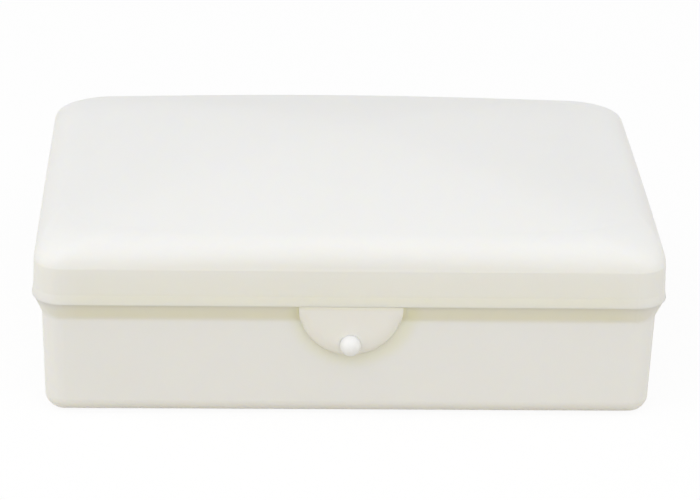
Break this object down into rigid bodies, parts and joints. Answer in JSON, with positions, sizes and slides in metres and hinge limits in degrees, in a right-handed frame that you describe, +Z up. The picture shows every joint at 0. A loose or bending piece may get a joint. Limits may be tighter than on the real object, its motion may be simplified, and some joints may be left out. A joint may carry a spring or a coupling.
{
  "type": "travel soap box",
  "caption": "Hinged travel soap box: ribbed tray with a flared seat, softly hipped crowned lid on a rear pin hinge, and a half-round front tab that snaps over a ball-headed stud.",
  "frame": {"origin": "middle of the tray's flat underside, on the surface that the box rests on", "axes": "+X along the length, -Y towards the front with the latch, +Z up"},
  "size_m": [0.108, 0.0767, 0.0393],
  "materials": {
    "ivory_shell": "satin moulded, slightly translucent",
    "white_stud": "smooth white",
    "pin_steel": "drawn wire"
  },
  "bodies": {
    "base": {"base_tray": "ivory_shell", "latch_stud": "white_stud", "hinge_pin_left": "pin_steel", "hinge_pin_right": "pin_steel"},
    "lid": {"lid": "ivory_shell"},
    "latch_tab": {"latch_tab": "ivory_shell"}
  },
  "joints": [
    {"name": "lid_hinge", "type": "hinge", "parent": "base", "child": "lid", "pos_m": [0, 0.03727, 0.01973], "axis": [-1, 0, 0], "range_deg": [0, 180]},
    {"name": "latch_flex", "type": "hinge", "parent": "lid", "child": "latch_tab", "pos_m": [0, -0.0347, 0.0207], "axis": [-1, 0, 0], "range_deg": [0, 40], "stiffness_Nm_per_rad": 0.02}
  ]
}
